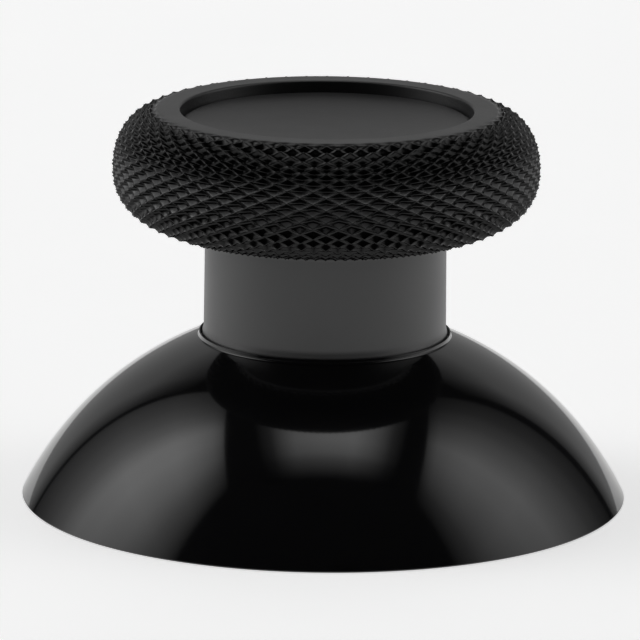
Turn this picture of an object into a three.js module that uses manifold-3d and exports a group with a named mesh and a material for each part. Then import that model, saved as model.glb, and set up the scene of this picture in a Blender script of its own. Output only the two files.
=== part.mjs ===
// Thumbstick cap of a game controller, in millimetres, +Z up along the stick.
// The origin is the middle of the dome's rim, which is what the cap stands on.
// Two mouldings make it. The hard dome has a core that rises through the neck.
// The soft grip is moulded round that core: the neck, and the pad with its knurl and dish.

import * as THREE from "three";
import { mergeVertices } from "three/addons/utils/BufferGeometryUtils.js";
import Module from "manifold-3d";

// Dome
const rimRadius = 11.5; // the widest circle, at the top of the rim's broken edge
const domeRise = 7.08; // from the widest circle to the pole of the dome's outer sphere
const domeWall = 1.0;
const rimEdge = 0.06; // the rim's two edges are broken by this much

// Boss and socket for the stick's shaft
const socketRadius = 2.05;
const socketAcrossFlats = 3.25;
const socketDepth = 5.2;
const socketLeadIn = 0.3; // countersink at the socket's mouth
const bossWall = 0.95; // round the socket
const bossSetback = 0.8; // how far the boss ends above the rim's plane
const bossFillet = 1.2; // where the boss meets the inside of the dome

// Slot and lip where the grip is shut off against the dome
const slotWidth = 0.08;
const slotDepth = 0.3; // from the top of the lip to the seat of the grip
const lipWidth = 0.05;
const lipHeight = 0.14; // above the dome's face
const lipFillet = 0.1; // concave, from the lip's wall down to the dome's face

// Core inside the grip
const sleeveWall = 1.28; // soft material round the core, at the top of the neck
const flangeCover = 2.53; // soft material outside the flange, at the widest circle
const coreFlangeThickness = 1.2;
const coreFlangeEdge = 0.25;
const coreCover = 1.3; // soft material over the flange at the middle of the dish
const bondClearance = 0.03; // between the two mouldings

// Neck
const neckTopRadius = 4.58;
const neckTaper = 0.09; // how much wider the neck is at its foot
const flareHeight = 0.22; // the taper's last part, just above the lip, is steeper
const flareWidth = 0.06;

// Pad
const padRadius = 8.13; // over the ridges of the knurl, at the widest
const padTop = 14.96; // height of the land
const padUpper = 2.24; // from the land down to the widest circle
const padLower = 2.41; // from the widest circle down to where the pad springs from the neck
const upperSquareness = 2.14; // 2 is an ellipse, and more is squarer
const lowerSquareness = 2.34;
const padShoulder = 1.81; // from the widest circle in to the land
const landWidth = 0.77;
const landEdge = 0.1; // small radius at the land's inner edge

// Dish
const dishWallHeight = 0.42;
const dishWallDraft = 0.05;
const dishGrooveWidth = 0.14;
const dishGrooveDepth = 0.14;
const dishSag = 0.42; // how deep the floor is below its own edge

// Knurl: a net of fine ridges that cross round diamond pits
const pitsRound = 52;
const knurlRows = 34; // half rows of pits from the neck to the land
const pitDepth = 0.27;
const knurlMargin = 0.12; // plain ring between the knurl and the land
const fadeRowsBelow = 8; // over how many half rows the pits reach their full depth
const fadeRowsAbove = 2;

// How finely round things are divided
const turns = pitsRound;
const domeSteps = 10;
const filletSteps = 4;
const socketSteps = 8;
const dishSteps = 5;
const outlineSteps = 400; // for measuring the pad's outline along its length

const wasm = await Module();
wasm.setup();

const domeRadius = (rimRadius ** 2 + domeRise ** 2) / (2 * domeRise);
const domeCentre = rimEdge + domeRise - domeRadius;
const sphereHeight = (radius, atRadius) => domeCentre + Math.sqrt(radius ** 2 - atRadius ** 2);
const sphereWidth = (radius, atHeight) => Math.sqrt(radius ** 2 - (atHeight - domeCentre) ** 2);
const innerRadius = domeRadius - domeWall;
const rimInnerRadius = sphereWidth(innerRadius, rimEdge);
const neckFootRadius = neckTopRadius + neckTaper;
const slotOuter = neckFootRadius + slotWidth;
const lipOuter = slotOuter + lipWidth;
const lipTop = sphereHeight(domeRadius, slotOuter) + lipHeight;
const seatHeight = lipTop - slotDepth;
const padWidest = padTop - padUpper;
const padUnderside = padWidest - padLower;
const landOuterRadius = padRadius - padShoulder;
const landInnerRadius = landOuterRadius - landWidth;
const dishEdge = padTop - dishWallHeight;
const dishBottom = dishEdge - dishSag;
const bossRadius = socketRadius + bossWall;
const coreRadius = neckTopRadius - sleeveWall;
const coreFlangeRadius = padRadius - flangeCover;
const flangeTop = dishBottom - coreCover;

// A closed three.js geometry as a solid that can be joined and cut.
function solidOf(geometry) {
  const bare = geometry.clone();
  bare.deleteAttribute("normal");
  bare.deleteAttribute("uv");
  const merged = mergeVertices(bare, 1e-4);
  const triVerts = new Uint32Array(merged.index.array);
  const vertProperties = new Float32Array(merged.attributes.position.array);
  return new wasm.Manifold(new wasm.Mesh({ numProp: 3, vertProperties, triVerts }));
}

// A solid as a named mesh with its own material.
function meshOf(name, solid, material) {
  const { vertProperties, triVerts } = solid.getMesh();
  const geometry = new THREE.BufferGeometry();
  geometry.setAttribute("position", new THREE.BufferAttribute(vertProperties, 3));
  geometry.setIndex(new THREE.BufferAttribute(triVerts, 1));
  geometry.computeVertexNormals();
  const mesh = new THREE.Mesh(geometry, material);
  mesh.name = name;
  return mesh;
}

// A profile of [radius, height] points, turned round the stick's axis. It runs anticlockwise.
function turned(profile) {
  const points = profile.map(([radius, height]) => new THREE.Vector2(radius, height));
  return new THREE.LatheGeometry(points, turns).rotateX(Math.PI / 2);
}

// Points on an arc in a profile, by its centre, its radius and its two angles in degrees.
function arc(centreRadius, centreHeight, radius, from, to, steps) {
  const points = [];
  for (let i = 0; i <= steps; i++) {
    const angle = THREE.MathUtils.degToRad(THREE.MathUtils.lerp(from, to, i / steps));
    points.push([centreRadius + radius * Math.cos(angle), centreHeight + radius * Math.sin(angle)]);
  }
  return points;
}

// The angle above the horizontal of a sphere's point at a given radius from the axis.
const sphereAngle = (radius, atRadius) => THREE.MathUtils.radToDeg(Math.acos(atRadius / radius));

// The outline of the core from the axis at its top down to the seat, grown by a clearance.
function coreProfile(clearance) {
  const radius = coreRadius + clearance;
  const flange = coreFlangeRadius + clearance;
  const top = flangeTop + clearance;
  const bottom = flangeTop - coreFlangeThickness - clearance;
  return [
    [radius, seatHeight],
    [radius, bottom],
    [flange - coreFlangeEdge, bottom],
    [flange, bottom + coreFlangeEdge],
    [flange, top - coreFlangeEdge],
    [flange - coreFlangeEdge, top],
    [0, top],
  ];
}

// The inside of the dome: the boss, its fillet and the inner sphere down to the rim.
// The fillet's centre lies its own radius from the boss's wall and from the inner sphere.
function domeInside() {
  const filletRadius = bossRadius + bossFillet;
  const filletHeight = sphereHeight(innerRadius - bossFillet, filletRadius);
  const meets = sphereAngle(innerRadius - bossFillet, filletRadius);
  const rimAngle = sphereAngle(innerRadius, rimInnerRadius);
  return [
    [0, bossSetback],
    [bossRadius, bossSetback],
    ...arc(filletRadius, filletHeight, bossFillet, 180, meets, filletSteps),
    ...arc(0, domeCentre, innerRadius, meets, rimAngle, domeSteps).slice(1, -1),
  ];
}

// The rim's flat underside, between its two broken edges.
function rimUnderside() {
  return [
    [rimInnerRadius, rimEdge],
    [rimInnerRadius + rimEdge, 0],
    [rimRadius - rimEdge, 0],
  ];
}

// The dome's outer face up to a concave fillet, and the lip with the slot behind it.
// The fillet's centre lies its own radius from the lip's wall and from the dome's face.
function domeOutside() {
  const filletRadius = lipOuter + lipFillet;
  const filletHeight = sphereHeight(domeRadius + lipFillet, filletRadius);
  const meets = sphereAngle(domeRadius + lipFillet, filletRadius);
  return [
    ...arc(0, domeCentre, domeRadius, sphereAngle(domeRadius, rimRadius), meets, domeSteps),
    ...arc(filletRadius, filletHeight, lipFillet, meets - 180, -180, filletSteps).slice(1),
    [lipOuter, lipTop],
    [slotOuter, lipTop],
    [slotOuter, seatHeight],
  ];
}

// The hole for the stick's shaft: round, with two flats, and a countersink at its mouth.
function socket() {
  const halfFlats = socketAcrossFlats / 2;
  const corner = Math.asin(halfFlats / socketRadius);
  const outline = new THREE.Shape();
  outline.absarc(0, 0, socketRadius, -corner, corner, false);
  outline.absarc(0, 0, socketRadius, Math.PI - corner, Math.PI + corner, false);
  const hole = new THREE.ExtrudeGeometry(outline, {
    depth: socketDepth + bossSetback,
    bevelEnabled: false,
    curveSegments: socketSteps,
  });
  const mouth = turned([
    [0, 0],
    [socketRadius + socketLeadIn, 0],
    [socketRadius + socketLeadIn, bossSetback],
    [socketRadius, bossSetback + socketLeadIn],
    [0, bossSetback + socketLeadIn],
  ]);
  return solidOf(hole).add(solidOf(mouth));
}

function domeBase() {
  const body = turned([...domeInside(), ...rimUnderside(), ...domeOutside(), ...coreProfile(0)]);
  return solidOf(body).subtract(socket());
}

// The pad's outline over the ridges of the knurl: two quarters of a squared ellipse,
// from the neck (0) past the widest circle to the land's edge (1).
class PadOutline extends THREE.Curve {
  constructor() {
    super();
    this.arcLengthDivisions = outlineSteps;
  }

  getPoint(t, target = new THREE.Vector2()) {
    const angle = THREE.MathUtils.lerp(-Math.PI / 2, Math.PI / 2, t);
    const upper = angle > 0;
    const power = 2 / (upper ? upperSquareness : lowerSquareness);
    const edge = upper ? landOuterRadius : neckTopRadius;
    const depth = upper ? padTop - padWidest : padWidest - padUnderside;
    const across = Math.abs(Math.cos(angle)) ** power;
    const along = Math.sign(angle) * Math.abs(Math.sin(angle)) ** power;
    return target.set(edge + (padRadius - edge) * across, padWidest + depth * along);
  }
}

// Rings of points round the axis, two for each pit. A ring gives the radius and height of
// its points, and in a knurled one they are crossings of the ridges and pit bottoms in turn.
// Every second knurled ring turns a pit to the front.
const isCrossing = (step, level) => (step + level) % 2 === 1;
const plainRing = (point) => () => point;

function knurlRing(crossing, normal, depth) {
  const bottom = crossing.clone().addScaledVector(normal, -depth);
  return (step, level) => (isCrossing(step, level) ? crossing : bottom).toArray();
}

// One closed skin through all the rings, from the axis below to the axis above.
// Each square is split along the ridge that runs from one crossing to the next.
function skin(rings) {
  const steps = 2 * pitsRound;
  const positions = [];
  const faces = [];
  rings.forEach((ring, level) => {
    for (let step = 0; step < steps; step++) {
      const [radius, height] = ring(step, level);
      const angle = (Math.PI * step) / pitsRound;
      positions.push(radius * Math.cos(angle), radius * Math.sin(angle), height);
      if (level === 0) continue;
      const next = (step + 1) % steps;
      const [a, b] = [step, next].map((i) => (level - 1) * steps + i);
      const [c, d] = [next, step].map((i) => level * steps + i);
      faces.push(...(isCrossing(step, level - 1) ? [a, b, c, a, c, d] : [a, b, d, b, c, d]));
    }
  });
  const geometry = new THREE.BufferGeometry();
  geometry.setAttribute("position", new THREE.Float32BufferAttribute(positions, 3));
  geometry.setIndex(faces);
  return geometry;
}

// The half rows of the knurl, an equal distance apart along the outline.
// The pits start from nothing at the neck and at the land, so both ends are plain circles.
function knurlRings(outline) {
  const knurled = 1 - knurlMargin / outline.getLength();
  const rings = [];
  for (let row = 1; row < knurlRows; row++) {
    const along = (knurled * row) / knurlRows;
    const tangent = outline.getTangentAt(along);
    const normal = new THREE.Vector2(tangent.y, -tangent.x);
    const deepened = Math.min(1, row / fadeRowsBelow, (knurlRows - row) / fadeRowsAbove);
    rings.push(knurlRing(outline.getPointAt(along), normal, pitDepth * deepened));
  }
  return rings;
}

// The dish, from the land's inner edge over the wall and the groove to the middle of the floor.
function dishProfile() {
  const wallFoot = landInnerRadius - dishWallDraft;
  const floorEdge = wallFoot - dishGrooveWidth;
  const floorRadius = (floorEdge ** 2 + dishSag ** 2) / (2 * dishSag);
  const floorCentre = dishBottom + floorRadius;
  const edgeAngle = THREE.MathUtils.radToDeg(Math.asin(floorEdge / floorRadius));
  const floor = arc(0, floorCentre, floorRadius, edgeAngle - 90, -90, dishSteps);
  return [
    [landInnerRadius + landEdge, padTop],
    [landInnerRadius, padTop - landEdge],
    [wallFoot, dishEdge],
    [wallFoot - dishGrooveWidth / 4, dishEdge - dishGrooveDepth],
    [floorEdge + dishGrooveWidth / 4, dishEdge - dishGrooveDepth],
    ...floor.slice(0, -1),
    [0, dishBottom],
  ];
}

function grip() {
  const outline = new PadOutline();
  const foot = seatHeight + bondClearance;
  const below = [
    [0, foot],
    [neckFootRadius, foot],
    [neckFootRadius, lipTop],
    [neckFootRadius - flareWidth, lipTop + flareHeight],
    [neckTopRadius, padUnderside],
  ];
  const above = [[landOuterRadius, padTop], ...dishProfile()];
  const outer = skin([...below.map(plainRing), ...knurlRings(outline), ...above.map(plainRing)]);
  const coreRoom = turned([[0, seatHeight], ...coreProfile(bondClearance)]);
  return solidOf(outer).subtract(solidOf(coreRoom));
}

const glossBlack = new THREE.MeshStandardMaterial({ color: 0x0c0c0d, roughness: 0.08, metalness: 0 });
const satinBlack = new THREE.MeshStandardMaterial({ color: 0x242425, roughness: 0.55, metalness: 0 });

const cap = new THREE.Group();
cap.add(meshOf("dome_base", domeBase(), glossBlack));
cap.add(meshOf("grip", grip(), satinBlack));

export default cap;
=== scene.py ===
# %% [markdown]
# A thumbstick cap, built round its measured frame
#
# The real object is a small two-shot moulding. A hard, glossy dome comes out of the tool first, and
# a soft, satin grip is then moulded round the core that rises from it. Everything on it except the
# knurl and the socket is a solid of revolution, so this lesson draws outlines and turns them.
# The frame comes first: it holds the two mouldings at their real size, in metres, with the origin at
# the middle of the dome's rim. Whatever is modelled here has to stay inside their box.

# %% Load the frame
import math

import bpy
import numpy as np
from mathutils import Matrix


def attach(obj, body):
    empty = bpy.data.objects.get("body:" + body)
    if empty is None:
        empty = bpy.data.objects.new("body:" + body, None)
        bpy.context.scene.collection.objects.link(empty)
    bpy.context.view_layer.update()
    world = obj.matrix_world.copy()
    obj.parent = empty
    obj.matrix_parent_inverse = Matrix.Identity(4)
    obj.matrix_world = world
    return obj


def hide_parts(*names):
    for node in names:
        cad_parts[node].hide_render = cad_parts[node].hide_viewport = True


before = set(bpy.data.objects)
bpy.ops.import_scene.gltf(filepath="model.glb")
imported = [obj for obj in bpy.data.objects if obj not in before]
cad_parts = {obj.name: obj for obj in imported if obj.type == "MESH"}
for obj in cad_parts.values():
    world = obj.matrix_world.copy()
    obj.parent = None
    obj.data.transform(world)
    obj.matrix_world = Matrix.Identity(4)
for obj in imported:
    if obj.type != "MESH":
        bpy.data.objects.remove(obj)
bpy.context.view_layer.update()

MM = 0.001

# %% [markdown]
# The camera
#
# A long lens far away is how such a small thing is shown in a shop's picture: the ellipses of the rim
# and of the land are nearly parallel, and both can be measured. The height, the distance and the lens
# were worked out from those ellipses. The camera stands square to the cap and looks a little down,
# and it is rolled by about half a degree, as a hand-levelled one is.

# %% Camera
camera_distance = 240.0 * MM
camera_height = 63.7 * MM
camera_aside = -0.186 * MM
aim_height = 6.78 * MM
camera_roll = 0.0100
sensor_width = 36.0
picture_width = 640
focal_pixels = 6486

camera = bpy.data.objects.new("camera", bpy.data.cameras.new("camera"))
bpy.context.scene.collection.objects.link(camera)
bpy.context.scene.camera = camera
camera.data.sensor_width = sensor_width
camera.data.lens = sensor_width * focal_pixels / picture_width
camera.data.clip_start = 10 * MM
camera.location = (camera_aside, -camera_distance, camera_height)
look_down = math.atan2(camera_height - aim_height, camera_distance)
camera.rotation_euler = (math.pi / 2 - look_down, 0, 0)
camera.rotation_euler.rotate_axis("Z", camera_roll)
print("lens, mm:", round(camera.data.lens, 1), "looking down, degrees:", round(math.degrees(look_down), 2))

# %% [markdown]
# Outlines
#
# A turned shape is drawn as half of its section: points that hold a distance from the axis and
# a height, in millimetres. A corner may carry a third number, how far along each side its rounding
# starts. Real mouldings have no perfectly sharp edge, and it is the small radius that catches the light
# as a fine bright line, so most corners get one. Arcs are worked out from their centre, so no outline
# is a list of samples.

# %% Outline helpers
def arc(centre, radius, start, stop, steps):
    """Points on an arc of an outline, with its two angles in degrees."""
    angles = np.radians(np.linspace(start, stop, steps + 1))
    return [(centre[0] + radius * math.cos(a), centre[1] + radius * math.sin(a)) for a in angles]


def eased(points, steps=5):
    """The outline with each corner that carries a third number turned into a curve."""
    made = []
    for i, point in enumerate(points):
        corner = np.array(point[:2])
        if len(point) == 2:
            made.append(tuple(corner))
            continue
        sides = [np.array(points[j][:2]) - corner for j in (i - 1, i + 1)]
        first, last = [corner + side / np.linalg.norm(side) * point[2] for side in sides]
        for t in np.linspace(0, 1, steps + 1):
            made.append(tuple((1 - t) ** 2 * first + 2 * t * (1 - t) * corner + t ** 2 * last))
    return made


def stretched(first, last, steps):
    """Points at equal distances on the straight line between two points, without the first."""
    return [tuple(np.array(first) + (np.array(last) - first) * i / steps) for i in range(1, steps + 1)]


# %% [markdown]
# Turning an outline into a closed solid
#
# Blender's Screw or Spin would turn a plain outline, but two things here are not plain: the socket is
# round with two flats, and the knurl's points move in and out. So the turning is done by hand. Each
# point of the outline becomes a ring, and its radius and height may be one number or one number for
# each column. A knurled ring also says where its columns lie. The first and the last point lie on the
# axis and close the solid. An outline comes in bands, and each band has its own finish. Where a band is
# knurled, each square is split in two along the ridge, because a square split the wrong way would dent
# the ridge.

# %% Turned solids
def ring_points(point, columns):
    """The positions of one ring, in metres. A third item says where its columns lie."""
    turn = 2 * math.pi * (point[2] if len(point) > 2 else np.arange(columns)) / columns
    radius = np.broadcast_to(point[0], columns)
    height = np.broadcast_to(point[1], columns)
    return np.column_stack([radius * np.cos(turn), radius * np.sin(turn), height]) * MM


def turned_solid(name, bands, columns, split=None):
    """A closed mesh from bands of (finish, outline points), from the axis to the axis."""
    points, finishes = [], []
    for finish, outline in bands:
        points += outline
        finishes += [finish] * len(outline)
    rings = [ring_points(point, columns) for point in points[1:-1]]
    ends = [(0, 0, points[0][1] * MM), (0, 0, points[-1][1] * MM)]
    positions = np.concatenate([*rings, ends])
    bottom, top = len(positions) - 2, len(positions) - 1
    faces, kinds = [], []
    for column in range(columns):
        beside = (column + 1) % columns
        faces.append((bottom, beside, column))
        kinds.append(finishes[0])
    for level in range(len(rings) - 1):
        start = level * columns
        for column in range(columns):
            beside = (column + 1) % columns
            a, b = start + column, start + beside
            c, d = b + columns, a + columns
            cut = split(column, level) if split else None
            if cut is None:
                faces.append((a, b, c, d))
            else:
                faces += [(a, b, c), (a, c, d)] if cut else [(a, b, d), (b, c, d)]
            kinds += [finishes[level + 2]] * (len(faces) - len(kinds))
    last = (len(rings) - 1) * columns
    for column in range(columns):
        faces.append((last + column, last + (column + 1) % columns, top))
        kinds.append(finishes[-1])
    mesh = bpy.data.meshes.new(name)
    mesh.from_pydata(positions.tolist(), [], faces)
    mesh.polygons.foreach_set("material_index", kinds)
    mesh.shade_smooth()
    mesh.validate()
    piece = bpy.data.objects.new(name, mesh)
    bpy.context.scene.collection.objects.link(piece)
    return piece


# %% [markdown]
# The dome moulding
#
# On the real cap this is the hard shell: a thin dome that hides the stick's gimbal, with a boss in the
# middle that is pressed onto the stick's shaft. The socket is round with two flats, so that the cap
# can't turn. The outer face is one sphere. A lathe would leave its rim sharp, but a moulded rim has
# its edges broken, and it shows as the thin light line that the cap stands on. The sizes repeat those
# of the frame's solid.

# %% Dome sizes, mm
rim_radius = 11.5
dome_rise = 7.08
dome_wall = 1.0
rim_edge = 0.06
dome_radius = (rim_radius ** 2 + dome_rise ** 2) / (2 * dome_rise)
dome_centre = rim_edge + dome_rise - dome_radius
inner_radius = dome_radius - dome_wall


def sphere_height(radius, at_radius):
    """The height of a sphere round the dome's centre, at a distance from the axis."""
    return dome_centre + math.sqrt(radius ** 2 - at_radius ** 2)


def sphere_angle(radius, at_radius):
    """The angle above the horizontal of a sphere's point at a distance from the axis."""
    return math.degrees(math.acos(at_radius / radius))


rim_inner_radius = math.sqrt(inner_radius ** 2 - (rim_edge - dome_centre) ** 2)
print("dome sphere, mm:", round(dome_radius, 2), "rim, mm:", round(rim_inner_radius, 2), "to", rim_radius)

# %% [markdown]
# The socket's ring
#
# A ring of the socket is a circle cut off by two flats, so its radius depends on the direction: the
# circle's own, or the distance to the flat where that is nearer. Numpy works it out for all columns at
# once, and the turning helper takes the array as it takes a number.

# %% Socket and boss
dome_columns = 256
socket_radius = 2.05
half_flats = 3.25 / 2
socket_end = 6.0
socket_lead_in = 0.3
boss_radius = 3.0
boss_face = 0.8
boss_fillet = 1.2

socket_clear = 0.004
around = 2 * math.pi * np.arange(dome_columns) / dome_columns
to_flat = half_flats / np.maximum(np.abs(np.sin(around)), 1e-6)
socket_ring = np.minimum(socket_radius, to_flat) - socket_clear
socket_outline = [
    (0, socket_end),
    (socket_ring - 0.08, socket_end),
    (socket_ring - 0.02, socket_end - 0.02),
    (socket_ring, socket_end - 0.08),
    (socket_ring, boss_face + socket_lead_in + 0.03),
    (socket_radius, boss_face + socket_lead_in),
    (socket_radius + socket_lead_in, boss_face),
]
fillet_radius = boss_radius + boss_fillet
fillet_height = sphere_height(inner_radius - boss_fillet, fillet_radius)
fillet_angle = sphere_angle(inner_radius - boss_fillet, fillet_radius)
boss_outline = eased([
    (socket_radius + socket_lead_in + 0.02, boss_face),
    (boss_radius, boss_face, 0.06),
    (boss_radius, fillet_height),
]) + arc((fillet_radius, fillet_height), boss_fillet, 180, fillet_angle, 12)[1:]
print("socket flats apart, mm:", round(2 * float(np.min(socket_ring)), 3))

# %% [markdown]
# The lip and the slot
#
# Where the soft shot meets the hard one, the tool shuts off against a thin raised lip. It leaves
# a narrow dark slot round the foot of the neck, and a small concave fillet leads from the lip down to
# the dome. The fillet gathers light from the side and draws the fine bright ring round the neck. The
# rest of the outline, the core with its flange, is hidden in the grip and only holds it.

# %% Lip, slot and core
neck_top_radius = 4.58
neck_foot_radius = 4.67
slot_outer = neck_foot_radius + 0.08
lip_outer = slot_outer + 0.05
lip_height = 0.14
lip_top = sphere_height(dome_radius, slot_outer) + lip_height
seat_height = lip_top - 0.3
lip_fillet = 0.1
lip_edge = 0.022
core_radius = 3.3
core_flange_radius = 5.6
core_flange_edge = 0.25
flange_top = 12.82
flange_bottom = flange_top - 1.2

lip_foot = lip_outer + lip_fillet
lip_foot_height = sphere_height(dome_radius + lip_fillet, lip_foot)
lip_foot_angle = sphere_angle(dome_radius + lip_fillet, lip_foot)
lip_outline = arc((lip_foot, lip_foot_height), lip_fillet, lip_foot_angle - 180, -180, 10)[1:] + eased([
    (lip_outer, lip_top, lip_edge),
    (slot_outer, lip_top, lip_edge),
    (slot_outer, seat_height, 0.05),
    (core_radius, seat_height),
])
core_outline = eased([
    (core_radius, flange_bottom),
    (core_flange_radius, flange_bottom, core_flange_edge),
    (core_flange_radius, flange_top, core_flange_edge),
    (0, flange_top),
])
print("lip above the dome's face, mm:", lip_height, "slot deep, mm:", round(lip_top - seat_height, 2))

# %% [markdown]
# Putting the dome's outline together
#
# The outline runs from the socket's end on the axis, down and out under the dome, round the rim, up
# the outside and over the lip to the top of the core. Two finishes share it: the outside is polished,
# and the inside has the fine matt texture of a spark-eroded core pin.

# %% Dome moulding
POLISHED, ERODED = 0, 1
rim_angle_inside = sphere_angle(inner_radius, rim_inner_radius)
rim_angle_outside = sphere_angle(dome_radius, rim_radius)
under_dome = arc((0, dome_centre), inner_radius, fillet_angle, rim_angle_inside, 48)[1:-1]
rim_outline = eased([
    (rim_inner_radius, rim_edge),
    (rim_inner_radius + 0.05, 0, 0.04),
    (rim_radius - 0.02, 0, 0.05),
    (rim_radius, rim_edge),
])
over_dome = arc((0, dome_centre), dome_radius, rim_angle_outside, lip_foot_angle, 96)[1:]
dome_bands = [
    (ERODED, socket_outline + boss_outline + under_dome),
    (POLISHED, rim_outline + over_dome + lip_outline),
    (ERODED, core_outline),
]
dome_moulding = turned_solid("dome_moulding", dome_bands, dome_columns)
dome_moulding.data.set_sharp_from_angle(angle=math.radians(40))
print("dome moulding:", len(dome_moulding.data.polygons), "faces")

# %% [markdown]
# The pad's outline
#
# The grip swells from the neck to the thumb pad. Its outline follows two quarters of a squared
# ellipse, a soft barrel that is a little fuller than a circle. The rows of the knurl lie at equal
# distances along that outline, as a rolled or engraved pattern does, so the outline is measured along
# its own length before the rows are placed. A small fillet then lowers its start, where the pad springs
# from the neck, because a mould leaves no sharp inside corner there.

# %% Pad outline
pad_radius = 8.13
pad_top = 14.96
pad_widest = 12.72
pad_underside = 10.31
land_outer_radius = 6.32
land_inner_radius = 5.55
upper_squareness = 2.14
lower_squareness = 2.34

sweep = np.linspace(-math.pi / 2, math.pi / 2, 4001)
upper = sweep > 0
power = 2 / np.where(upper, upper_squareness, lower_squareness)
inner_edge = np.where(upper, land_outer_radius, neck_top_radius)
depth = np.where(upper, pad_top - pad_widest, pad_widest - pad_underside)
pad_r = inner_edge + (pad_radius - inner_edge) * np.cos(sweep).clip(0) ** power
pad_z = pad_widest + depth * np.sign(sweep) * np.abs(np.sin(sweep)) ** power
walked = np.concatenate([[0], np.cumsum(np.hypot(np.diff(pad_r), np.diff(pad_z)))])
neck_fillet = 0.22
inside_fillet = np.where(upper, 0, (neck_top_radius + neck_fillet - pad_r).clip(0))
pad_z -= neck_fillet - np.sqrt(neck_fillet ** 2 - inside_fillet ** 2)
print("pad outline, mm:", round(float(walked[-1]), 2))

# %% [markdown]
# The knurl
#
# The pad's side is covered by a net of fine ridges that cross round diamond pits, and the pits are cut
# into the surface, so the ridges lie on the outline. A bump map would look right only from the front,
# because the ridges break the pad's edge against the light, so the pits are real geometry. Two
# numbers count across the two families of ridges. A point's distance to the nearest ridge, as a share
# of the way to the pit's middle, gives its depth. The square root rounds the ridge's crest. The grid's
# points are gathered at the ridges, because a narrow crest needs close points and a flat facet does
# not. A ridge sags a little between two crossings, which is what makes the pad's outline slightly
# toothed. At the neck and at the land the pits start from nothing, so both ends are plain circles.

# %% Knurl
pits_round = 52
knurl_rows = 34
pit_depth = 0.36
knurl_margin = 0.12
fade_rows_below = 5
fade_rows_above = 2
fine = 4
crest = 0.03
ridge_sag = 0.08
gather = 1.6
grip_columns = 2 * pits_round * fine
knurled = walked[-1] - knurl_margin


def pit_cut(across, up):
    """How deep the knurl is cut, at a number of half steps round and of half rows up."""
    a, b = (across + up) / 2, (across - up) / 2
    from_a, from_b = 1 - 2 * np.abs(a - np.round(a)), 1 - 2 * np.abs(b - np.round(b))
    nearest, farther = np.minimum(from_a, from_b), np.maximum(from_a, from_b)
    bowl = (np.sqrt(nearest ** 2 + crest ** 2) - crest) / (math.sqrt(1 + crest ** 2) - crest)
    return (pit_depth - ridge_sag) * bowl + ridge_sag * farther * (2 - farther)


def gathered(count):
    """A number of pits, drawn towards the nearest ridge, which is half way between two whole numbers."""
    rest = count - np.round(count)
    return np.round(count) + np.sign(rest) * (1 - (1 - 2 * np.abs(rest)) ** gather) / 2


def knurl_ring(row):
    """The ring of the grip at a number of half rows above the neck."""
    step = np.arange(grip_columns) / fine
    a, b = gathered((step + row) / 2), gathered((step - row) / 2)
    across, up = a + b, a - b
    along = knurled * up / knurl_rows
    here = np.array([np.interp(along, walked, pad_r), np.interp(along, walked, pad_z)])
    ahead = np.array([np.interp(along + 0.01, walked, pad_r), np.interp(along + 0.01, walked, pad_z)])
    inward = np.array([here[1] - ahead[1], ahead[0] - here[0]])
    inward /= np.linalg.norm(inward, axis=0)
    fade = np.clip(np.minimum(up / fade_rows_below, (knurl_rows - up) / fade_rows_above), 0, 1)
    cut = fade * pit_cut(across, up)
    return here[0] + inward[0] * cut, here[1] + inward[1] * cut, across * fine


knurl_outline = [knurl_ring(row / fine) for row in range(0, knurl_rows * fine + 1)]
print("knurl rings:", len(knurl_outline), "half row, mm:", round(float(knurled) / knurl_rows, 3))

# %% [markdown]
# The dish
#
# The thumb rests in a shallow dish inside a flat ring, the land. The dish has a short wall, a fine
# groove at its foot where the tool's insert ends, and a floor that is a shallow bowl. The groove is
# drawn as a rounded channel, because its dark line is sharp in the picture on the near side and
# soft on the far side, as a round-bottomed channel's is.

# %% Land and dish
dish_edge = 14.54
dish_bottom = 14.12
groove_width = 0.14
groove_depth = 0.14
wall_foot = land_inner_radius - 0.05
floor_edge = wall_foot - groove_width
floor_radius = (floor_edge ** 2 + (dish_edge - dish_bottom) ** 2) / (2 * (dish_edge - dish_bottom))
floor_angle = math.degrees(math.asin(floor_edge / floor_radius))
land_outline = stretched((land_outer_radius + 0.06, pad_top), (land_inner_radius + 0.15, pad_top), 6)
wall_outline = eased([
    (land_inner_radius + 0.14, pad_top),
    (land_inner_radius, pad_top, 0.1),
    (wall_foot, dish_edge - groove_depth, 0.06),
    (floor_edge, dish_edge - groove_depth, 0.06),
    (floor_edge, dish_edge, 0.05),
    (floor_edge - 0.07, dish_edge - 0.011),
])
floor_outline = arc((0, dish_bottom + floor_radius), floor_radius, floor_angle - 91, -90, 30)[:-1]
print("dish floor sphere, mm:", round(floor_radius, 1))

# %% [markdown]
# Putting the grip's outline together
#
# The grip starts on the axis at the roof of the room that it leaves round the core, goes down inside
# the neck, turns at the foot in the slot and climbs the outside. A hair of clearance keeps the two
# solids apart, although the real ones are bonded. Just above the lip the neck flares out a little,
# so its foot mirrors the dark room in front instead of the pale floor, and looks darker there.

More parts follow.
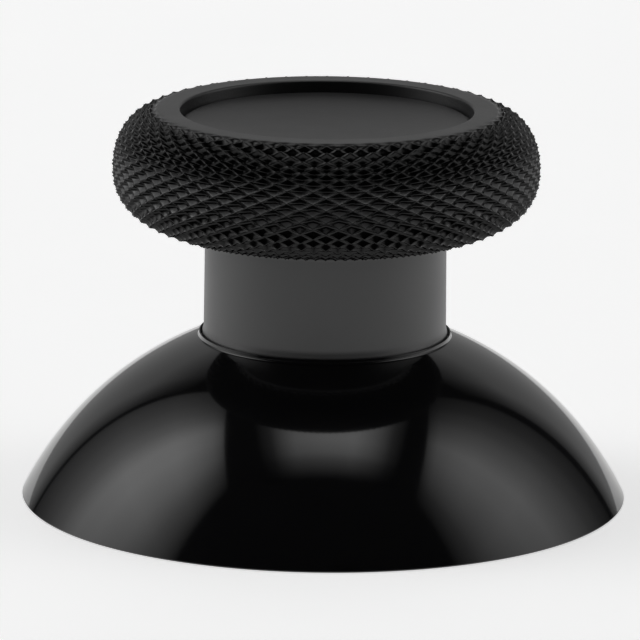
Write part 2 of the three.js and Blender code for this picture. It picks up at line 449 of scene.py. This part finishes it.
# %% Grip moulding
NECK, KNURL, THUMB, HIDDEN = 0, 1, 2, 3
bond = 0.03
room_outline = [
    (0, flange_top + bond),
    (core_flange_radius + bond - core_flange_edge, flange_top + bond),
    (core_flange_radius + bond, flange_top + bond - core_flange_edge),
    (core_flange_radius + bond, flange_bottom - bond + core_flange_edge),
    (core_flange_radius + bond - core_flange_edge, flange_bottom - bond),
    (core_radius + bond, flange_bottom - bond),
    (core_radius + bond, seat_height + bond),
]
flare_height = 0.22
flare_width = 0.06
foot_outline = eased([
    (neck_foot_radius - 0.2, seat_height + bond),
    (neck_foot_radius, seat_height + bond, 0.08),
    (neck_foot_radius, lip_top - 0.02),
    (neck_foot_radius - flare_width, lip_top + flare_height, 0.1),
    (neck_top_radius + 0.028, lip_top + flare_height + 0.2),
])
neck_outline = stretched(foot_outline[-1], (neck_top_radius + 0.001, pad_underside - neck_fillet - 0.02), 8)
plain_rings = 2 * fine
grip_bands = [
    (HIDDEN, room_outline),
    (NECK, foot_outline + neck_outline + knurl_outline[:plain_rings]),
    (KNURL, knurl_outline[plain_rings:]),
    (THUMB, land_outline + wall_outline + floor_outline + [(0, dish_bottom)]),
]
rings_below = len(room_outline) + len(foot_outline) + len(neck_outline) - 1


def along_ridge(column, level):
    """Which way a square of the knurl is split, and nothing for the plain bands."""
    row = level - rings_below
    if not 0 <= row < knurl_rows * fine:
        return None
    across, up = (column + 0.5) / fine, (row + 0.5) / fine
    a, b = (across + up) / 2, (across - up) / 2
    return abs(a - round(a)) < abs(b - round(b))


grip_moulding = turned_solid("grip_moulding", grip_bands, grip_columns, along_ridge)
print("grip moulding:", len(grip_moulding.data.polygons), "faces")

# %% [markdown]
# Checking the two solids
#
# A solid that is closed and turned the right way round has a positive volume, so the volume is
# measured before any finish goes on. The frame's own solids hold about 875 and 736 cubic millimetres.
# The grip here holds a little less, because its pits are cut deeper.

# %% Volumes
import bmesh

for piece in (dome_moulding, grip_moulding):
    measured = bmesh.new()
    measured.from_mesh(piece.data)
    open_edges = sum(not edge.is_manifold for edge in measured.edges)
    volume = measured.calc_volume(signed=True) / MM ** 3
    print(piece.name, "mm3:", round(volume, 1), "open edges:", open_edges)
    measured.free()

# %% [markdown]
# Shader maths
#
# A finish is a sum of simple things: noise at several sizes, mixed and scaled. Written as nodes it is
# hard to read, so a small class wraps a socket and adds a Math node for each operator. A second class
# holds the material and has one method for every other kind of node.

# %% Wires and finishes
class Wire:
    """A socket that can be used in sums."""

    def __init__(self, finish, socket):
        self.finish = finish
        self.socket = socket

    def maths(self, operation, first, second):
        return self.finish.node("ShaderNodeMath", {"operation": operation}, {0: first, 1: second})

    def __add__(self, other):
        return self.maths("ADD", self, other)

    def __sub__(self, other):
        return self.maths("SUBTRACT", self, other)

    def __rsub__(self, other):
        return self.maths("SUBTRACT", other, self)

    def __mul__(self, other):
        return self.maths("MULTIPLY", self, other)

    __radd__ = __add__
    __rmul__ = __mul__


class Finish:
    """A material that is built node by node."""

    def __init__(self, name):
        self.material = bpy.data.materials.new(name)
        self.material.use_nodes = True
        self.nodes = self.material.node_tree.nodes
        self.links = self.material.node_tree.links
        self.nodes.clear()
        self.place = self.node("ShaderNodeTexCoord", out="Object")

    def node(self, kind, settings=None, sockets=None, out=0):
        """Add a node: its settings first, then the values or links of its sockets."""
        made = self.nodes.new(kind)
        for name, value in (settings or {}).items():
            if name == "stops":
                self.set_stops(made.color_ramp, value)
            else:
                setattr(made, name, value)
        for key, value in (sockets or {}).items():
            socket = find_socket(made.inputs, key)
            if isinstance(value, Wire):
                self.links.new(value.socket, socket)
            else:
                socket.default_value = value
        return Wire(self, find_socket(made.outputs, out)) if len(made.outputs) else None

    def set_stops(self, ramp, stops):
        """Give a ramp its stops: (position, grey) pairs."""
        while len(ramp.elements) < len(stops):
            ramp.elements.new(1)
        for element, (position, grey) in zip(ramp.elements, stops):
            element.position = position
            element.color = (grey, grey, grey, 1)

    def noise(self, scale, detail=2, rough=0.5):
        """Noise that is fixed to the object, with its scale in features for each metre."""
        sockets = {"Vector": self.place, "Scale": scale, "Detail": detail, "Roughness": rough}
        return self.node("ShaderNodeTexNoise", {"normalize": True}, sockets, "Fac")

    def blend(self, share, first, second):
        """Two colours mixed by a share."""
        ends = [end if isinstance(end, Wire) else (*end, 1) for end in (first, second)]
        sockets = {"Factor_Float": share, "A_Color": ends[0], "B_Color": ends[1]}
        return self.node("ShaderNodeMix", {"data_type": "RGBA"}, sockets, "Result_Color")

    def surface(self, **sockets):
        """Finish the material with the plastic shader."""
        named = {key.replace("_", " "): value for key, value in sockets.items()}
        shader = self.node("ShaderNodeBsdfPrincipled", None, named)
        self.node("ShaderNodeOutputMaterial", None, {"Surface": shader})
        return self.material


def find_socket(sockets, key):
    """A socket by its number, its identifier or its name."""
    if isinstance(key, int):
        return sockets[key]
    return next(socket for socket in sockets if key in (socket.identifier, socket.name))


# %% [markdown]
# The polished dome
#
# The outside of the dome copies a polished tool in black ABS: nearly a mirror, but never quite. The
# flow of the plastic leaves waves of a few millimetres that are far shallower than a hair, and polish
# and handling leave patches that are a little less sharp. Both are noise at that size. The depth of
# black comes from a very dark base under a plain plastic reflection, not from a metal.

# %% Polished black
polished = Finish("polished_black")
patches = polished.noise(420, 3)
haze = polished.noise(5200, 2)
waves = polished.noise(260, 1)
polished_bump = polished.node("ShaderNodeBump", None, {
    "Height": waves + haze * 0.015,
    "Distance": 0.0012 * MM,
    "Strength": 1.0,
}, "Normal")
polished.surface(
    Base_Color=polished.blend(patches, (0.0035, 0.0035, 0.0040), (0.0060, 0.0060, 0.0066)),
    Roughness=0.045 + patches * 0.035 + haze * 0.02,
    IOR=1.5,
    Normal=polished_bump,
)
print("polished_black nodes:", len(polished.nodes))

# %% [markdown]
# The eroded inside
#
# The inside of the shell is never seen in use, so the tool's core is left as the spark erosion makes
# it: a fine, even, matt grain. It is two layers of noise, a coarse and a fine one, in the height.

# %% Eroded black
eroded = Finish("eroded_black")
pits = eroded.noise(7000, 3, 0.6)
specks = eroded.noise(19000, 2, 0.5)
eroded_bump = eroded.node("ShaderNodeBump", None, {
    "Height": pits + specks * 0.5,
    "Distance": 0.010 * MM,
    "Strength": 1.0,
}, "Normal")
eroded.surface(
    Base_Color=eroded.blend(pits, (0.011, 0.011, 0.0115), (0.019, 0.019, 0.0195)),
    Roughness=0.42 + specks * 0.16,
    IOR=1.5,
    Normal=eroded_bump,
)
print("eroded_black nodes:", len(eroded.nodes))

# %% [markdown]
# The soft grip
#
# The grip is a thermoplastic elastomer. It is satin rather than matt: the light slides over it in wide
# soft bands. One recipe serves all its faces. What changes is how coarse and deep the grain is, how dark
# its base is, and how strongly it reflects. The neck comes from a nearly smooth tool, the knurl's facets
# are cut, and the land and the dish carry the fine grain that a thumb feels. The neck's paler base and
# stronger reflection are painted light, and the knurl's much darker base is painted shade: one rubber
# in a lit copy and a shaded copy. The two reflections were chosen to match the picture's greys, and not
# from the rubber itself. The knurl also carries a painted highlight: a pale colour on the facets that
# face up, which stands in for the light on the lower facets of the pits. A mask from the surface's
# direction puts it there, and one from the height fades it out between 13 and 14 millimetres up, on
# the shoulder.

# %% Satin rubber
# Where the knurl's painted highlight starts and is full, by how far a face points up, then the heights in mm
# above which it is gone and below which it is full.
highlight_starts, highlight_full = 0.62, 0.80
highlight_gone_above, highlight_full_below = 14.0, 13.0


def rubber(name, grain_scale, grain_depth, roughness, dark, light, gloss=0.5, painted_highlight=None):
    """A satin elastomer with grain of a given scale and depth, and maybe a painted highlight, a pale colour,
    on what faces up.
    """
    finish = Finish(name)
    grain = finish.noise(grain_scale, 3, 0.6)
    cloud = finish.noise(650, 2)
    wiped = finish.noise(150, 1)
    bump = finish.node("ShaderNodeBump", None, {
        "Height": grain + cloud * 0.4,
        "Distance": grain_depth * MM,
        "Strength": 1.0,
    }, "Normal")
    colour = finish.blend(cloud * 0.6 + grain * 0.4, dark, light)
    # Painted highlight: a pale colour on the facets that face up stands in for the light on the pits' lower
    # facets, and it fades out near the shoulder.
    if painted_highlight:
        facing = finish.node("ShaderNodeNewGeometry", out="Normal")
        upward = finish.node("ShaderNodeSeparateXYZ", None, {"Vector": facing}, "Z")
        faces_up = finish.node("ShaderNodeMapRange", {"interpolation_type": "SMOOTHSTEP"}, {
            "Value": upward + grain * 0.15,
            "From Min": highlight_starts,
            "From Max": highlight_full,
        }, "Result")
        height = finish.node("ShaderNodeSeparateXYZ", None, {"Vector": finish.place}, "Z")
        below_shoulder = finish.node("ShaderNodeMapRange", {"interpolation_type": "SMOOTHSTEP"}, {
            "Value": height,
            "From Min": highlight_gone_above * MM,
            "From Max": highlight_full_below * MM,
        }, "Result")
        colour = finish.blend(faces_up * below_shoulder, colour, painted_highlight)
    finish.surface(
        Base_Color=colour,
        Roughness=roughness - 0.05 + cloud * 0.06 + wiped * 0.04,
        IOR=1.5,
        Specular_IOR_Level=gloss,
        Normal=bump,
    )
    print(name, "nodes:", len(finish.nodes))
    return finish.material


# Painted light and shade on one rubber: the neck's paler base and stronger reflection are painted light, and
# the knurl's near-black base is painted shade.
neck_rubber = rubber("neck_rubber", 9000, 0.0012, 0.42, (0.030, 0.030, 0.0305), (0.037, 0.037, 0.0375),
                     gloss=0.85)
# The pale colour given to the knurl's up-facing facets is a painted highlight.
knurl_rubber = rubber("knurl_rubber", 12000, 0.0015, 0.20, (0.001, 0.001, 0.0011), (0.002, 0.002, 0.0021),
                      gloss=0.27, painted_highlight=(0.22, 0.22, 0.222))
thumb_rubber = rubber("thumb_rubber", 11000, 0.007, 0.36, (0.009, 0.009, 0.0094), (0.014, 0.014, 0.0144))

# %% [markdown]
# Giving the finishes to the bands
#
# The bands were numbered when the outlines were put together, so the materials go on in that order.
# Each moulding rides on the one body of the frame and stands for its node, which is hidden.

# %% Finishes and riding
for material in (polished.material, eroded.material):
    dome_moulding.data.materials.append(material)
for material in (neck_rubber, knurl_rubber, thumb_rubber, neck_rubber):
    grip_moulding.data.materials.append(material)
for piece, node, slot in (
    (dome_moulding, "dome_base", "gloss_black"),
    (grip_moulding, "grip", "satin_black"),
):
    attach(piece, "root")
    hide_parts(node)
print("pieces:", dome_moulding.name, grip_moulding.name)

# %% [markdown]
# The floor
#
# The cap stands on a plain pale sheet. A little mottling keeps it from looking like paper cut out by
# a computer. The sheet is paler to the camera and in reflections than the light alone makes it, as
# a sheet that is lit from below is, and Light Path's outputs say which rays those are. So the light on
# the cap stays low, the background stays pale, and the sheet still keeps the cap's shadow.

# %% Floor
def sheet(name, corners, material):
    """A flat four-cornered sheet that belongs to the studio."""
    mesh = bpy.data.meshes.new(name)
    mesh.from_pydata(corners, [], [(0, 1, 2, 3)])
    mesh.materials.append(material)
    made = bpy.data.objects.new(name, mesh)
    bpy.context.scene.collection.objects.link(made)
    return made


paper = Finish("pale_paper")
mottle = paper.noise(90, 3)
seen = paper.node("ShaderNodeLightPath", out="Is Camera Ray")
mirrored = paper.node("ShaderNodeLightPath", out="Is Glossy Ray")
through = paper.node("ShaderNodeLightPath", out="Is Transmission Ray")
paper.surface(
    Base_Color=paper.blend(mottle, (0.80, 0.80, 0.80), (0.82, 0.82, 0.82)),
    Roughness=0.6 + mottle * 0.1,
    IOR=1.35,
    Emission_Color=paper.blend(seen + mirrored + through, (0, 0, 0), (0.5, 0.5, 0.5)),
    Emission_Strength=1.0,
)
reach = 2.0
down = -0.004 * MM
floor_corners = [(-reach, -reach, down), (reach, -reach, down), (reach, reach, down), (-reach, reach, down)]
floor = sheet("floor", floor_corners, paper.material)
print("floor, m:", 2 * reach)

# %% [markdown]
# The studio lights
#
# A glossy black dome is a map of the studio, and its reflections show where the lights stood: a tall
# softbox on each side, the left one brighter and brightest in its middle, a dim pale wall behind, an
# overhead light, and a dark room in front. Each is a glowing sheet here instead of a lamp, because
# its brightness can fade towards its edges, as a real softbox's does. The camera doesn't see them.

# %% Softboxes
def glowing(name, strength, across, up):
    """A glow that fades over a sheet, by one ramp for each of two axes."""
    finish = Finish(name)
    spread = finish.node("ShaderNodeTexCoord", out="Generated")
    shares = []
    for axis, stops in (across, up):
        along = finish.node("ShaderNodeSeparateXYZ", None, {"Vector": spread}, axis)
        shares.append(finish.node("ShaderNodeValToRGB", {"stops": stops}, {"Fac": along}, "Color"))
    product = finish.node("ShaderNodeVectorMath", {"operation": "MULTIPLY"}, {0: shares[0], 1: shares[1]})
    glow = finish.node("ShaderNodeEmission", None, {"Color": product, "Strength": strength})
    finish.node("ShaderNodeOutputMaterial", None, {"Surface": glow})
    return finish.material


def standing_light(name, azimuth, distance, half_width, height, material):
    """An upright glowing sheet that faces the cap, and the camera doesn't see it."""
    turn = math.radians(azimuth)
    out = np.array([math.sin(turn), -math.cos(turn)]) * distance
    side = np.array([math.cos(turn), math.sin(turn)]) * half_width
    left, right = (out - side).tolist(), (out + side).tolist()
    light = sheet(name, [(*left, 0.002), (*right, 0.002), (*right, height), (*left, height)], material)
    light.visible_camera = False
    return light


left_across = [(0, 0.02), (0.04, 0.1), (0.2, 0.38), (0.34, 0.75), (0.5, 1), (0.6, 0.95), (0.71, 0.48),
               (0.79, 0.29), (0.88, 0.17), (1, 0.08)]
left_up = [(0, 0.3), (0.08, 0.42), (0.2, 0.65), (0.36, 0.95), (0.6, 1), (0.72, 0.85), (0.88, 0.6), (1, 0.3)]
left_glow = glowing("left_glow", 2.45, ("Y", left_across), ("Z", left_up))
standing_light("left_softbox", -100, 0.6, 0.49, 1.18, left_glow)
right_across = [(0, 0.02), (0.14, 0.22), (0.28, 0.58), (0.42, 0.9), (0.54, 1), (0.65, 0.6), (0.77, 0.28),
                (0.88, 0.12), (1, 0.05)]
right_up = [(0, 0.35), (0.08, 0.5), (0.2, 0.72), (0.36, 0.97), (0.6, 1), (0.72, 0.9), (0.88, 0.68), (1, 0.25)]
right_glow = glowing("right_glow", 1.6, ("Y", right_across), ("Z", right_up))
standing_light("right_softbox", 96, 0.6, 0.53, 1.13, right_glow)
print("azimuths: 0 in front, 90 on the right")

# %% [markdown]
# The wall behind and the light above
#
# The pale wall behind gives the top faces their soft grey at a grazing angle, and the overhead light,
# which hangs a little to the right, draws the grey field on the front of the dome. Both fade towards
# their edges, so they shape the black surfaces without washing them out.

# %% Wall and overhead light
soft_edges = [(0, 0.3), (0.12, 1), (0.88, 1), (1, 0.3)]
wall_glow = glowing("wall_glow", 0.36, ("X", soft_edges), ("Z", [(0, 1), (0.5, 1), (0.8, 0.4), (1, 0.1)]))
standing_light("pale_wall", 180, 0.9, 0.72, 1.08, wall_glow)

overhead_height = 0.8
overhead_left = -0.27
overhead_right = 0.33
overhead_front = -0.29
overhead_back = 0.62
over_across = [(0, 0), (0.11, 0.11), (0.27, 0.75), (0.45, 0.93), (0.65, 1), (0.77, 0.62), (0.9, 0.13), (1, 0)]
over_along = [(0, 0), (0.03, 0.05), (0.07, 0.17), (0.13, 0.4), (0.18, 0.75), (0.26, 1), (0.71, 1), (1, 0.5)]
overhead_glow = glowing("overhead_glow", 1.85, ("X", over_across), ("Y", over_along))
overhead_corners = [(overhead_left, overhead_front), (overhead_left, overhead_back),
                    (overhead_right, overhead_back), (overhead_right, overhead_front)]
overhead = sheet("overhead", [(*corner, overhead_height) for corner in overhead_corners], overhead_glow)
overhead.visible_camera = False
print("overhead light, m:", round(overhead_right - overhead_left, 2), "at", overhead_height)

# %% [markdown]
# The room
#
# The rest of the studio is nearly dark, as in front of the cap it has to be: the front of the dome
# mirrors it. A faint neutral world keeps the hollow under the dome from being quite black. The view
# transform is the plain one, so that a colour comes out as it is written.

# %% Room and view
world = bpy.data.worlds.new("room")
bpy.context.scene.world = world
world.use_nodes = True
background = world.node_tree.nodes["Background"]
background.inputs["Color"].default_value = (0.012, 0.012, 0.0122, 1)
background.inputs["Strength"].default_value = 1.0
bpy.context.scene.view_settings.view_transform = "Standard"
print("view transform:", bpy.context.scene.view_settings.view_transform)
